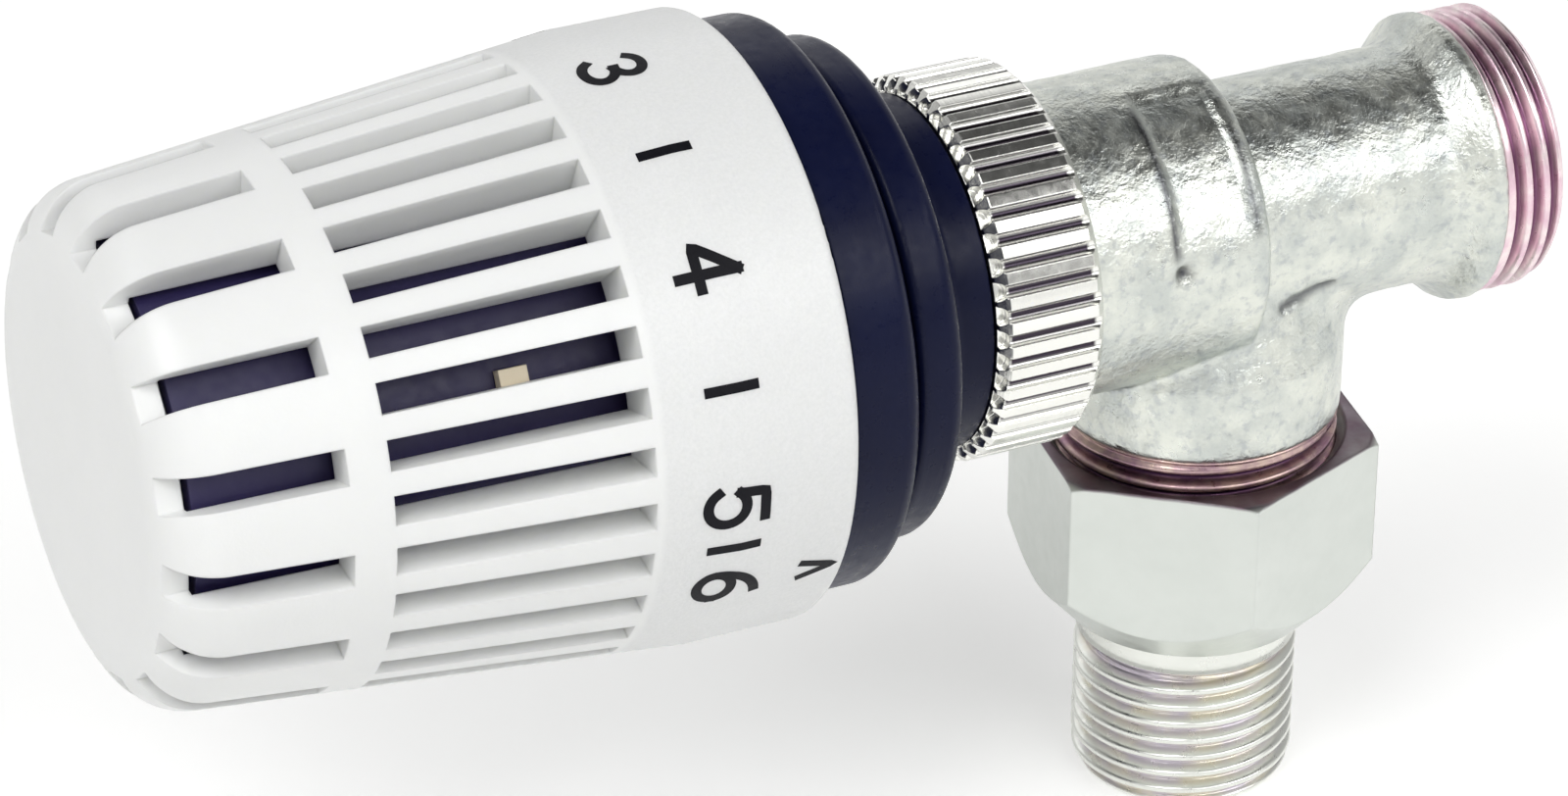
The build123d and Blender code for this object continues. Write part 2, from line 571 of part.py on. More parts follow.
def heat_conductor():
    """Brass sleeve that carries the warmth of the neck to the capsule."""
    web_end = CONDUCTOR_WEB + CONDUCTOR_WEB_LENGTH
    guide_r = ROD_R + RUNNING
    return HEAD_AXIS * turned([(CONDUCTOR_FRONT, SNOUT_R), (CONDUCTOR_WEB, SNOUT_R), (CONDUCTOR_WEB, guide_r),
                               (web_end, guide_r), (web_end, CONDUCTOR_NOSE_R), (NECK_END, CONDUCTOR_NOSE_R),
                               (NECK_END, CONDUCTOR_R), (CONDUCTOR_FRONT, CONDUCTOR_R)])


def overtravel_spring():
    """Spring between the base and the capsule that holds the capsule in its carrier."""
    return HEAD_AXIS * coil_x(CAPSULE_REAR + SEATED, BASE_FLOOR - SEATED, OVER_R, OVER_WIRE, OVER_TURNS)


def insert_housing():
    """Brass valve insert screwed into the neck."""
    insert_r = NECK_BORE_R - SEATED
    groove_end = CHAMBER_START - INSERT_GROOVE_FROM
    insert = rod_x(NECK_END, CHAMBER_START, insert_r)
    insert += hex_x(INSERT_OUTER, NECK_END, INSERT_HEX)
    insert -= rod_x(INSERT_OUTER, GLAND_END + GLAND_RING, GLAND_R)
    insert -= rod_x(INSERT_OUTER, CHAMBER_START, SPINDLE_R + RUNNING)
    insert -= rod_x(SPRING_ROOM_START, CHAMBER_START, SPRING_ROOM_R)
    insert -= tube_x(groove_end - INSERT_GROOVE_WIDTH, groove_end, insert_r - INSERT_GROOVE, NECK_BORE_R)
    return HEAD_AXIS * insert


def insert_seal():
    """Seal ring between the insert and the body."""
    section = (INSERT_GROOVE - SEATED) / 2
    middle = CHAMBER_START - INSERT_GROOVE_FROM - INSERT_GROOVE_WIDTH / 2
    return HEAD_AXIS * ring_x(middle, NECK_BORE_R - SEATED - section, section)


def gland_nut():
    """Gland screwed into the insert's outer end; the spindle passes through it."""
    gland = hex_x(INSERT_OUTER - GLAND_HEX_LENGTH, INSERT_OUTER, GLAND_HEX)
    gland += rod_x(INSERT_OUTER, GLAND_END, GLAND_R - SEATED)
    gland -= rod_x(INSERT_OUTER - GLAND_HEX_LENGTH, GLAND_END, SPINDLE_R + RUNNING)
    return HEAD_AXIS * gland


def gland_seal():
    """Seal ring on the spindle, under the gland."""
    section = GLAND_RING / 2 - SEATED
    return HEAD_AXIS * ring_x(GLAND_END + GLAND_RING / 2, SPINDLE_R + RUNNING + section, section)


def spindle():
    """Steel spindle with the flange that the return spring lifts."""
    flange_end = SPINDLE_FLANGE_X + SPINDLE_FLANGE
    end = PLATE_FACE + WASHER_THICKNESS
    return HEAD_AXIS * turned([(SPINDLE_TIP, 0), (end, 0), (end, SPINDLE_R), (PLATE_BACK, SPINDLE_R),
                               (PLATE_BACK, STEM_R), (flange_end, STEM_R), (flange_end, SPINDLE_FLANGE_R),
                               (SPINDLE_FLANGE_X, SPINDLE_FLANGE_R), (SPINDLE_FLANGE_X, SPINDLE_R),
                               (SPINDLE_TIP, SPINDLE_R)])


def return_spring():
    """Spring that lifts the plate off its seat."""
    start = SPINDLE_FLANGE_X + SPINDLE_FLANGE + SEATED
    return HEAD_AXIS * coil_x(start, GUIDE_START - SEATED, SPRING_R, SPRING_WIRE, SPRING_TURNS)


def spring_guide():
    """Bush in the insert's inner end: seat of the return spring and guide of the stem."""
    return HEAD_AXIS * tube_x(GUIDE_START, CHAMBER_START, STEM_R + RUNNING, SPRING_ROOM_R - SEATED)


def on_spindle(start, length, radius):
    """Round plate threaded on the spindle's end."""
    return HEAD_AXIS * tube_x(start, start + length, SPINDLE_R + SEATED, radius)


def valve_plate():
    """Brass plate behind the seal."""
    return on_spindle(PLATE_BACK, PLATE_THICKNESS, PLATE_R)


def plate_seal():
    """Rubber disc that shuts against the seat."""
    return on_spindle(PLATE_BACK + PLATE_THICKNESS, PLATE_SEAL, PLATE_R)


def plate_washer():
    """Riveted washer that holds the seal on the plate."""
    return on_spindle(PLATE_FACE, WASHER_THICKNESS, WASHER_R)


PIECES = [
    valve_body, union_nut, tail_piece, tail_seal, knurled_nut, snap_ring, head_base, handwheel,
    sensor_housing, low_stop_clip, high_stop_clip, sensor_carrier, sensor_capsule, push_rod,
    heat_conductor, overtravel_spring, insert_housing, insert_seal, gland_nut, gland_seal, spindle,
    return_spring, spring_guide, valve_plate, plate_seal, plate_washer,
]

os.makedirs("parts", exist_ok=True)
for piece in PIECES:
    export_step(piece(), f"parts/{piece.__name__}.step")
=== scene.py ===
"""Return temperature limiter valve in a plain studio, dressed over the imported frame.

Metres, in the frame's own axes: the head and the pipe share one axis along X, the tail stands on Z.
Angles round the head count from the top towards the front.
"""
from math import atan2, cos, degrees, exp, floor, hypot, pi, radians, sin, sqrt

import bmesh
import bpy
from mathutils import Matrix, Vector, noise


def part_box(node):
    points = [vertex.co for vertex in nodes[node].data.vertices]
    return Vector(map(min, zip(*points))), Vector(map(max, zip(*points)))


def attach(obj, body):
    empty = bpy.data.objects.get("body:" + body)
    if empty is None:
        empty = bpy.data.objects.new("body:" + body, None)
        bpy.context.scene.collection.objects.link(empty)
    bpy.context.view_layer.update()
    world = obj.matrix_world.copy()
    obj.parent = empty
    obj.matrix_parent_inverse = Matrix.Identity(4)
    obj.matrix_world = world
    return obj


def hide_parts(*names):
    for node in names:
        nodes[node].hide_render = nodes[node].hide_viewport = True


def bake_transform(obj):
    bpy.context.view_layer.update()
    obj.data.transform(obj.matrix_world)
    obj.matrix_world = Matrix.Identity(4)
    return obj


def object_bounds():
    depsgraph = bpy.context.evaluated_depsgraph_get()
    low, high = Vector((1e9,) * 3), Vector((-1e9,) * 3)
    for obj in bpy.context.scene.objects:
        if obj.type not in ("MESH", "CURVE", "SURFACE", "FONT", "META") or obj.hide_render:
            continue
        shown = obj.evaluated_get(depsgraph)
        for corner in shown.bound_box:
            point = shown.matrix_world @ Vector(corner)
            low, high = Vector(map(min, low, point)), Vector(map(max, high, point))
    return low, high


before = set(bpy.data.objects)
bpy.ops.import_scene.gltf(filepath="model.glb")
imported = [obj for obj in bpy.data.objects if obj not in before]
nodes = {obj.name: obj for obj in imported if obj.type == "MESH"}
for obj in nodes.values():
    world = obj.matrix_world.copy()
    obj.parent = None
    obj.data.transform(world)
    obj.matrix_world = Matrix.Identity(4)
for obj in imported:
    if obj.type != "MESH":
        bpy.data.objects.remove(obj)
cad_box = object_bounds()
MM = 0.001

# Head and pipe axis, read from the frame
wheel_low, wheel_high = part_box("handwheel")
AXIS_Z = (wheel_low.z + wheel_high.z) / 2
AXIS = Vector((0, 0, AXIS_Z))

# Camera: the photograph's viewing angle
IMAGE_WIDTH = 1600
FOCAL_PIXELS = 6541.6
SENSOR_WIDTH = 36.0
CAMERA_AZIMUTH = radians(-25.48)
CAMERA_ELEVATION = radians(29.77)
CAMERA_ROLL = radians(0.40)
CAMERA_RIGHT = -38.09 * MM      # from the crossing of the head and tail axes
CAMERA_UP = -17.44 * MM
CAMERA_BACK = 582.87 * MM
CAMERA_CLIP = 10 * MM

# Threads
PITCH = 1.814 * MM
THREAD_DEPTH = 1.0 * MM
THREAD_COLUMNS = 144
THREAD_ROWS = 14                # rows in one pitch
CREST_FLAT = 0.16               # part of the tooth height that is cut off at crest and root

# Dial
RING_LENGTH = 10.9 * MM         # cylindrical part of the wheel
WHEEL_END_R = 22.7 * MM         # cone carried on to the end face
WHEEL_REAR_R = wheel_high.z - AXIS_Z
DIGIT_PLACE = -59.3 * MM
DIGIT_STROKE = 0.95 * MM
DIGIT_SIZE = 0.94               # of the drawn strokes
TICK_STROKE = 0.9 * MM
ARROW_STROKE = 0.75 * MM
INK = 0.035 * MM                # height of the print over the surface
INK_STEP = 0.35 * MM


def new_object(name, mesh, material, body, smooth=True):
    """A finished piece that rides on a body."""
    piece = bpy.data.objects.new(name, mesh)
    bpy.context.scene.collection.objects.link(piece)
    mesh.materials.clear()
    mesh.materials.append(material)
    if smooth:
        mesh.polygons.foreach_set("use_smooth", [True] * len(mesh.polygons))
    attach(piece, body)
    return piece


def mesh_from(name, vertices, faces):
    mesh = bpy.data.meshes.new(name)
    mesh.from_pydata(vertices, [], faces)
    work = bmesh.new()
    work.from_mesh(mesh)
    bmesh.ops.recalc_face_normals(work, faces=work.faces)
    work.to_mesh(mesh)
    work.free()
    return mesh


def smooth_step(low, high, value):
    t = min(max((value - low) / (high - low), 0.0), 1.0)
    return t * t * (3 - 2 * t)


# Materials

NOISE_LOW = 0.3                 # the range in which most values of a noise lie
NOISE_HIGH = 0.7
STIPPLE_START = -66.0 * MM      # where the wheel's stippled ring begins
STIPPLE_FULL = -65.4 * MM
NUT_WEAR_SHADE_START = 0.35 * MM      # under the union nut's top: bare bronze, darkened with painted shade
NUT_WEAR_SHADE_FULL = 0.05 * MM
FLUTE_BARE = 0.8 * MM           # from either end of the knurled nut to where the painted shade in its flutes begins
FLUTE_FULL = 1.1 * MM
FLUTE_DARK_R = 17.22 * MM       # radius under which a flute is darkened with painted shade
FLUTE_ROOT_R = 17.02 * MM


class Nodes:
    """A node tree with a few helpers that add to it."""

    def __init__(self, tree):
        self.tree = tree

    def add(self, kind, inputs=None, **settings):
        node = self.tree.nodes.new(kind)
        for key, value in settings.items():
            setattr(node, key, value)
        for key, value in (inputs or {}).items():
            self.set(node.inputs[key], value)
        return node

    def set(self, socket, value):
        if isinstance(value, bpy.types.NodeSocket):
            self.tree.links.new(value, socket)
        else:
            socket.default_value = value

    def remap(self, value, low, high, to_low=0.0, to_high=1.0):
        sockets = {"Value": value, "From Min": low, "From Max": high, "To Min": to_low, "To Max": to_high}
        return self.add("ShaderNodeMapRange", sockets).outputs["Result"]

    def mix(self, factor, first, second):
        node = self.add("ShaderNodeMix", data_type="RGBA")
        self.set(node.inputs["Factor"], factor)
        for socket, value in ((node.inputs[6], first), (node.inputs[7], second)):
            self.set(socket, value if isinstance(value, bpy.types.NodeSocket) else (*value, 1.0))
        return node.outputs[2]

    def math(self, operation, first, second=0.0):
        node = self.add("ShaderNodeMath", operation=operation)
        self.set(node.inputs[0], first)
        self.set(node.inputs[1], second)
        return node.outputs[0]

    def seen(self):
        """1 for what the camera sees, directly or in metal or glass, and 0 for what lights a surface."""
        path = self.add("ShaderNodeLightPath").outputs
        bounced = self.math("MAXIMUM", path["Is Glossy Ray"], path["Is Transmission Ray"])
        return self.math("MAXIMUM", path["Is Camera Ray"], bounced)


class Finish(Nodes):
    """A procedural material round a Principled shader."""

    def __init__(self, name, metallic=0.0, roughness=0.4):
        self.material = bpy.data.materials.new(name)
        self.material.use_nodes = True
        super().__init__(self.material.node_tree)
        self.shader = self.tree.nodes["Principled BSDF"]
        self.shader.inputs["Metallic"].default_value = metallic
        self.shader.inputs["Roughness"].default_value = roughness
        self.place = self.add("ShaderNodeTexCoord").outputs["Object"]

    def noise(self, grain, detail=3.0, roughness=0.55, stretch=None):
        """Noise with features of about that size in millimetres, stretched along the axes if asked."""
        place = self.place
        if stretch:
            place = self.add("ShaderNodeMapping", {"Vector": place, "Scale": stretch}).outputs["Vector"]
        sockets = {"Vector": place, "Scale": 1 / (grain * MM), "Detail": detail, "Roughness": roughness}
        return self.add("ShaderNodeTexNoise", sockets).outputs["Fac"]

    def wander(self, grain, low, high, detail=3.0):
        """A roughness that wanders between two values over features of that size."""
        return self.remap(self.noise(grain, detail=detail), NOISE_LOW, NOISE_HIGH, low, high)

    def axis_place(self):
        """Sockets with the distance along the head axis and the radius round it."""
        parts = self.add("ShaderNodeSeparateXYZ", {"Vector": self.place}).outputs
        height = self.math("SUBTRACT", parts["Z"], AXIS_Z)
        across_squared = self.math("MULTIPLY", parts["Y"], parts["Y"])
        height_squared = self.math("MULTIPLY", height, height)
        return parts["X"], self.math("SQRT", self.math("ADD", across_squared, height_squared))

    def edges(self, radius):
        """A normal that rounds sharp edges by that many millimetres."""
        return self.add("ShaderNodeBevel", {"Radius": radius * MM}, samples=6).outputs["Normal"]

    def bump(self, height, depth, normal=None):
        sockets = {"Height": height, "Distance": depth * MM, "Strength": 1.0}
        if normal:
            sockets["Normal"] = normal
        return self.add("ShaderNodeBump", sockets).outputs["Normal"]

    def finish(self, colour, roughness, normal):
        for key, value in (("Base Color", colour), ("Roughness", roughness), ("Normal", normal)):
            self.set(self.shader.inputs[key], value)
        return self.material


def wheel_plastic():
    """Off-white moulded plastic, smooth on the slotted part and finely stippled on the number ring."""
    f = Finish("wheel_plastic", roughness=0.42)
    f.shader.inputs["Subsurface Weight"].default_value = 0.35
    f.shader.inputs["Subsurface Radius"].default_value = (1.0, 1.0, 0.9)
    f.shader.inputs["Subsurface Scale"].default_value = 1.5 * MM
    along = f.axis_place()[0]
    ring = f.remap(along, STIPPLE_START, STIPPLE_FULL)
    stipple = f.noise(0.32, detail=2.0)
    flow = f.noise(14.0)
    smooth_white = f.mix(flow, (0.84, 0.85, 0.84), (0.885, 0.89, 0.88))
    ring_white = f.mix(stipple, (0.75, 0.76, 0.755), (0.86, 0.865, 0.86))
    colour = f.mix(ring, smooth_white, ring_white)
    roughness = f.wander(2.0, 0.34, 0.46)
    grain = f.math("MULTIPLY", stipple, f.remap(ring, 0.0, 1.0, 0.25, 1.0))
    return f.finish(colour, roughness, f.bump(grain, 0.05, f.edges(0.3)))


def base_plastic():
    """Dark blue moulded plastic with a soft gloss and faint turning lines."""
    f = Finish("base_plastic", roughness=0.34)
    flow = f.noise(9.0)
    f.shader.inputs["Specular IOR Level"].default_value = 0.14
    colour = f.mix(flow, (0.003, 0.004, 0.020), (0.007, 0.010, 0.040))
    lines = f.noise(0.5, stretch=(1.0, 0.08, 0.08))
    roughness = f.wander(1.2, 0.24, 0.40)
    return f.finish(colour, roughness, f.bump(lines, 0.02, f.edges(0.3)))


def housing_plastic():
    f = Finish("housing_plastic", roughness=0.5)
    colour = f.mix(f.noise(6.0), (0.012, 0.009, 0.05), (0.026, 0.018, 0.085))
    return f.finish(colour, f.wander(1.0, 0.42, 0.58), f.bump(f.noise(0.4), 0.02, f.edges(0.25)))


def clip_plastic():
    f = Finish("clip_plastic", roughness=0.45)
    colour = f.mix(f.noise(3.0), (0.82, 0.70, 0.50), (0.90, 0.80, 0.62))
    return f.finish(colour, f.wander(0.8, 0.38, 0.52), f.bump(f.noise(0.3), 0.015, f.edges(0.2)))


def cast_nickel():
    """Nickel plate over a sand casting: lumpy, with dull darker patches and painted shade at the panel's
    edges, the crease and the pit.
    """
    f = Finish("cast_nickel", metallic=1.0, roughness=0.35)
    patches = f.remap(f.noise(5.0, detail=5.0, roughness=0.62), 0.40, 0.62)
    specks = f.remap(f.noise(0.9, detail=4.0), 0.52, 0.68)
    colour = f.mix(patches, (0.575, 0.605, 0.575), (0.745, 0.765, 0.70))
    colour = f.mix(f.math("MULTIPLY", specks, 0.32), colour, (0.27, 0.30, 0.36))
    # painted shade carried on the body's mesh: along the panel's edges, in the crease and in the pit
    painted_shade = f.add("ShaderNodeAttribute", attribute_name="painted_shade").outputs["Fac"]
    colour = f.mix(painted_shade, colour, (0.035, 0.035, 0.05))
    roughness = f.wander(1.6, 0.24, 0.46, detail=4.0)
    lumps = f.noise(1.1, detail=4.0, roughness=0.6)
    grain = f.math("MULTIPLY", f.noise(0.35), 0.35)
    return f.finish(colour, roughness, f.bump(f.math("ADD", lumps, grain), 0.16, f.edges(0.3)))


def turned_nickel():
    """Matt nickel plate on machined brass."""
    f = Finish("turned_nickel", metallic=1.0, roughness=0.36)
    colour = f.mix(f.noise(7.0, detail=4.0), (0.66, 0.69, 0.645), (0.76, 0.785, 0.74))
    lines = f.noise(0.30, detail=2.0, stretch=(0.06, 0.06, 1.0))
    roughness = f.wander(1.8, 0.30, 0.44, detail=4.0)
    return f.finish(colour, roughness, f.bump(lines, 0.018, f.edges(0.3)))


def nut_nickel():
    """Matt nickel plate like the tail's; bare bronze on the nut's top and in its mouth, darkened there
    with painted shade.
    """
    f = Finish("nut_nickel", metallic=1.0, roughness=0.36)
    colour = f.mix(f.noise(7.0, detail=4.0), (0.60, 0.63, 0.595), (0.69, 0.715, 0.68))
    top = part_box("union_nut")[1].z
    height = f.add("ShaderNodeSeparateXYZ", {"Vector": f.place}).outputs["Z"]
    # bare bronze near the top, darkened with painted shade
    wear_and_shade = f.remap(height, top - NUT_WEAR_SHADE_START, top - NUT_WEAR_SHADE_FULL)
    wear_and_shade = f.math("ADD", wear_and_shade, f.remap(f.noise(3.0), 0.2, 0.8, -0.35, 0.05))
    bronze = f.mix(f.noise(1.5, detail=4.0), (0.05, 0.025, 0.06), (0.20, 0.13, 0.16))
    colour = f.mix(f.math("MAXIMUM", wear_and_shade, 0.0), colour, bronze)
    roughness = f.wander(1.8, 0.30, 0.44, detail=4.0)
    return f.finish(colour, roughness, f.bump(f.noise(0.6, detail=3.0), 0.012, f.edges(0.4)))


def bright_nickel():
    """Bright nickel plate, with painted shade in the bottom of the flutes."""
    f = Finish("bright_nickel", metallic=1.0, roughness=0.2)
    along, radius = f.axis_place()
    colour = f.mix(f.noise(4.0), (0.82, 0.82, 0.78), (0.90, 0.895, 0.85))
    low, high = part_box("knurled_nut")
    past_low = f.remap(along, low.x + FLUTE_BARE, low.x + FLUTE_FULL)
    past_high = f.remap(along, high.x - FLUTE_BARE, high.x - FLUTE_FULL)
    inside = f.math("MULTIPLY", past_low, past_high)
    # painted shade: the flute bottoms darken, away from the nut's ends
    groove = f.math("MULTIPLY", inside, f.remap(radius, FLUTE_DARK_R, FLUTE_ROOT_R))
    colour = f.mix(groove, colour, (0.05, 0.04, 0.055))
    lines = f.noise(0.25, detail=2.0, stretch=(1.0, 0.06, 0.06))
    return f.finish(colour, f.wander(1.0, 0.16, 0.28), f.bump(lines, 0.01, f.edges(0.18)))


def bare_thread(name, tint_one, tint_two, root):
    """Cut bronze thread: two tints on its crests, darker in its grooves as painted shade."""
    f = Finish(name, metallic=1.0, roughness=0.32)
    tint = f.mix(f.remap(f.noise(2.4, detail=4.0), 0.35, 0.65), tint_one, tint_two)
    groove = f.add("ShaderNodeAttribute", attribute_name="depth").outputs["Fac"]
    # painted shade in the grooves
    colour = f.mix(f.remap(groove, 0.45, 1.0), tint, root)
    roughness = f.wander(0.8, 0.26, 0.42)
    return f.finish(colour, roughness, f.bump(f.noise(0.25, stretch=(1.0, 0.3, 0.3)), 0.012))


def tail_nickel():
    """Nickel plate on the tail thread, with a faint yellow and purple tint in its grooves, darker there
    as painted shade.
    """
    f = Finish("tail_nickel", metallic=1.0, roughness=0.3)
    groove = f.add("ShaderNodeAttribute", attribute_name="depth").outputs["Fac"]
    tint = f.mix(f.remap(f.noise(5.0), 0.4, 0.6), (0.62, 0.56, 0.44), (0.50, 0.44, 0.52))
    plate = f.mix(f.noise(6.0, detail=4.0), (0.74, 0.755, 0.71), (0.84, 0.85, 0.80))
    # tint and painted shade in the grooves
    colour = f.mix(f.remap(groove, 0.3, 1.0, 0.0, 0.85), plate, tint)
    roughness = f.wander(1.2, 0.24, 0.38, detail=4.0)
    return f.finish(colour, roughness, f.bump(f.noise(0.28, stretch=(0.1, 0.1, 1.0)), 0.012))


def brass():
    f = Finish("brass", metallic=1.0, roughness=0.32)
    colour = f.mix(f.noise(3.0), (0.66, 0.45, 0.20), (0.78, 0.57, 0.29))
    return f.finish(colour, f.wander(0.8, 0.24, 0.40), f.bump(f.noise(0.2), 0.008, f.edges(0.15)))


def steel():
    f = Finish("steel", metallic=1.0, roughness=0.28)
    colour = f.mix(f.noise(2.0), (0.52, 0.53, 0.55), (0.64, 0.65, 0.67))
    return f.finish(colour, f.wander(0.6, 0.22, 0.36), f.bump(f.noise(0.15), 0.006))


def capsule_metal():
    f = Finish("capsule_metal", metallic=1.0, roughness=0.34)
    colour = f.mix(f.noise(4.0), (0.70, 0.62, 0.46), (0.78, 0.72, 0.58))
    return f.finish(colour, f.wander(1.0, 0.28, 0.42), f.bump(f.noise(0.3), 0.01, f.edges(0.2)))


def rubber():
    f = Finish("rubber", roughness=0.6)
    colour = f.mix(f.noise(1.0), (0.010, 0.010, 0.011), (0.024, 0.024, 0.026))
    return f.finish(colour, f.wander(0.5, 0.52, 0.70), f.bump(f.noise(0.2), 0.008))


def dial_ink():
    f = Finish("dial_ink", roughness=0.45)
    f.shader.inputs["Specular IOR Level"].default_value = 0.12
    colour = f.mix(f.noise(0.4), (0.004, 0.004, 0.006), (0.010, 0.010, 0.014))
    return f.finish(colour, f.wander(0.4, 0.38, 0.55), f.bump(f.noise(0.25), 0.008))


finishes = {make.__name__: make() for make in (
    wheel_plastic, base_plastic, housing_plastic, clip_plastic, cast_nickel, turned_nickel,
    bright_nickel, brass, steel, capsule_metal, rubber,
)}
for node in nodes.values():
    for place in node.material_slots:
        place.material = finishes[place.material.name.split(".")[0]]
nodes["union_nut"].material_slots[0].material = nut_nickel()


# Threads


def tooth(turns):
    """Height of a flattened and rounded tooth, 0 in the root and 1 on the crest, over one turn."""
    rise = 1 - abs(2 * (turns - floor(turns)) - 1)
    return smooth_step(CREST_FLAT, 1 - CREST_FLAT, rise)


def turned_piece(name, rows, radius_at, inner_radius, to_row_frame):
    """Mesh of a turned piece whose outer radius may change with the angle, and its groove depth."""
    vertices = []
    depths = []

    def ring(s, radius_of):
        for column in range(THREAD_COLUMNS):
            angle = 2 * pi * column / THREAD_COLUMNS
            radius, depth = radius_of(s, angle)
            vertices.append(to_row_frame(s, radius, angle))
            depths.append(depth)

    for s in rows:
        ring(s, radius_at)
    for s in (rows[-1], rows[0]):
        ring(s, lambda place, angle: (inner_radius, 1.0))
    count = len(rows) + 2
    faces = []
    for row in range(count):
        for column in range(THREAD_COLUMNS):
            here = row * THREAD_COLUMNS
            after = (row + 1) % count * THREAD_COLUMNS
            beside = (column + 1) % THREAD_COLUMNS
            faces.append((here + column, here + beside, after + beside, after + column))
    mesh = mesh_from(name, vertices, faces)
    mesh.attributes.new("depth", "FLOAT", "POINT").data.foreach_set("value", depths)
    return mesh


def along_x(s, radius, angle):
    return Vector((s, -radius * sin(angle), AXIS_Z + radius * cos(angle)))


def along_z(s, radius, angle):
    return Vector((radius * cos(angle), radius * sin(angle), s))


def even_rows(start, end, step):
    count = max(1, round((end - start) / step))
    return [start + (end - start) * i / count for i in range(count + 1)]


# Tail piece

TAIL_THREAD_R = 10.45 * MM
TAIL_THREAD_END = 14.0 * MM
TAIL_RELIEF_END = 15.0 * MM
TAIL_RELIEF_R = 9.5 * MM
TAIL_CHAMFER = 2.6 * MM
TAIL_CHAMFER_IN = 1.6 * MM
TAIL_NECK_R = 10.4 * MM
TAIL_BORE_R = 7.5 * MM
TAIL_FLANGE = 1.9 * MM
TAIL_ROUND = 0.3 * MM
TAIL_NECK_STEP = 1.0 * MM
STEP_EDGE = 0.01 * MM          # length of a sharp step in a turned outline


def tail_piece():
    low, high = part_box("tail_piece")
    flange_radius = high.x
    flange_start = high.z - TAIL_FLANGE

    def radius_at(s, angle):
        if s > flange_start:
            edge = min(s - flange_start, high.z - s)
            return flange_radius - max(0.0, TAIL_ROUND - edge), 0.0
        if s > TAIL_RELIEF_END:
            return TAIL_NECK_R, 0.0
        if s > TAIL_THREAD_END:
            edge = min(s - TAIL_THREAD_END, TAIL_RELIEF_END - s)
            return TAIL_RELIEF_R + max(0.0, TAIL_ROUND - edge), 1.0
        depth = THREAD_DEPTH * (1 - tooth(s / PITCH - angle / (2 * pi)))
        lead = max(0.0, 1 - (s - low.z) / TAIL_CHAMFER)
        chamfer = TAIL_CHAMFER_IN * (1 - sqrt(max(0.0, 1 - lead * lead)))
        return TAIL_THREAD_R - max(depth, chamfer), depth / THREAD_DEPTH

    rows = even_rows(low.z, TAIL_THREAD_END, PITCH / THREAD_ROWS)
    rows += even_rows(TAIL_THREAD_END + STEP_EDGE, TAIL_RELIEF_END, TAIL_ROUND / 2)
    rows += even_rows(TAIL_RELIEF_END + STEP_EDGE, flange_start, TAIL_NECK_STEP)
    rows += even_rows(flange_start + STEP_EDGE, high.z, TAIL_ROUND)
    mesh = turned_piece("tail_piece_threaded", rows, radius_at, TAIL_BORE_R, along_z)
    piece = new_object("tail_piece_threaded", mesh, tail_nickel(), "valve")
    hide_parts("tail_piece")


# Valve body

PIPE_THREAD_START = 24.4 * MM
PIPE_THREAD_R = 13.2 * MM
BRANCH_THREAD_R = 13.2 * MM
BRANCH_THREAD_END = 39.3 * MM
NECK_THREAD_END = -19.0 * MM
THREAD_SEAT = 0.25 * MM         # the sleeve's inner face lies this far under the thread root
THREAD_RUN_OUT = 1.0 * MM
THREAD_CHAMFER = 0.9 * MM
WELD = 0.001 * MM               # corners closer than this are one
FACE_SLACK = 0.01 * MM
RADIUS_SLACK = 0.05 * MM
CAST_VOXEL = 0.36 * MM
CAST_SMOOTH = 4
BARREL_R = 14.4 * MM
PANEL_LOW = -10.2 * MM          # span of the sunk panel, which runs out towards its lower end
PANEL_HIGH = -2.0 * MM
PANEL_DEPTH = 0.7 * MM          # more than the panel is sunk
PANEL_FADE = (58.0, 80.0)
# Cast marks: place, radius, height
CAST_MARKS = (
    (Vector((4.2, -10.3, 54.9)) * MM, 0.9 * MM, 0.5 * MM),      # nub below the barrel's shoulder
    (Vector((-9.6, -14.1, 60.9)) * MM, 0.8 * MM, -0.6 * MM),    # pit at the foot of the panel's edge
)
# Crease under the nub
CREASE = (Vector((2.7, -10.6, 53.0)) * MM, Vector((7.9, -9.8, 53.8)) * MM)
CREASE_WIDTH = 0.55 * MM
CREASE_DEPTH = 0.35 * MM
# darkness of the painted shadow along the crease under the nub
CREASE_SHADE = 0.8
# Painted shade along the panel's edges: place, first and last angle, darkness
PANEL_EDGE_SHADES = (
    (PANEL_LOW, 12.0, 72.0, 0.85),
    (PANEL_HIGH, 28.0, 68.0, 0.7),
)
# how far from the barrel's surface, how wide and how soft the painted shade along the panel's edges is
SHADE_DEPTH = 1.0 * MM
SHADE_WIDTH = 0.42 * MM
SHADE_FADE = 8.0
LUMP = 2.6 * MM
LUMP_HEIGHT = 0.09 * MM
GRAIN = 0.9 * MM
GRAIN_HEIGHT = 0.035 * MM


def in_crease(point):
    """1 in the middle of the crease, falling to 0 beside it."""
    start, end = CREASE
    run = end - start
    share = max(0.0, min(1.0, (point - start).dot(run) / run.length_squared))
    return exp(-((point - start - run * share).length / CREASE_WIDTH) ** 2)


def cast_painted_shade(point):
    """Darkness of the painted shade along the panel's edges and in the pit, and of the painted shadow in
    the crease, from 0 to 1.
    """
    painted_shade = CREASE_SHADE * in_crease(point)
    if abs(hypot(point.y, point.z - AXIS_Z) - BARREL_R) < SHADE_DEPTH:
        turn = degrees(atan2(-point.y, point.z - AXIS_Z))
        for edge, first, last, dark in PANEL_EDGE_SHADES:
            along = smooth_step(first, first + SHADE_FADE, turn)
            along *= 1 - smooth_step(last, last + SHADE_FADE, turn)
            painted_shade = max(painted_shade, dark * along * exp(-((point.x - edge) / SHADE_WIDTH) ** 2))
    # painted shade in the pit
    for centre, wide, high in CAST_MARKS:
        if high < 0:
            painted_shade = max(painted_shade, exp(-((point - centre).length / wide) ** 2))
    return painted_shade


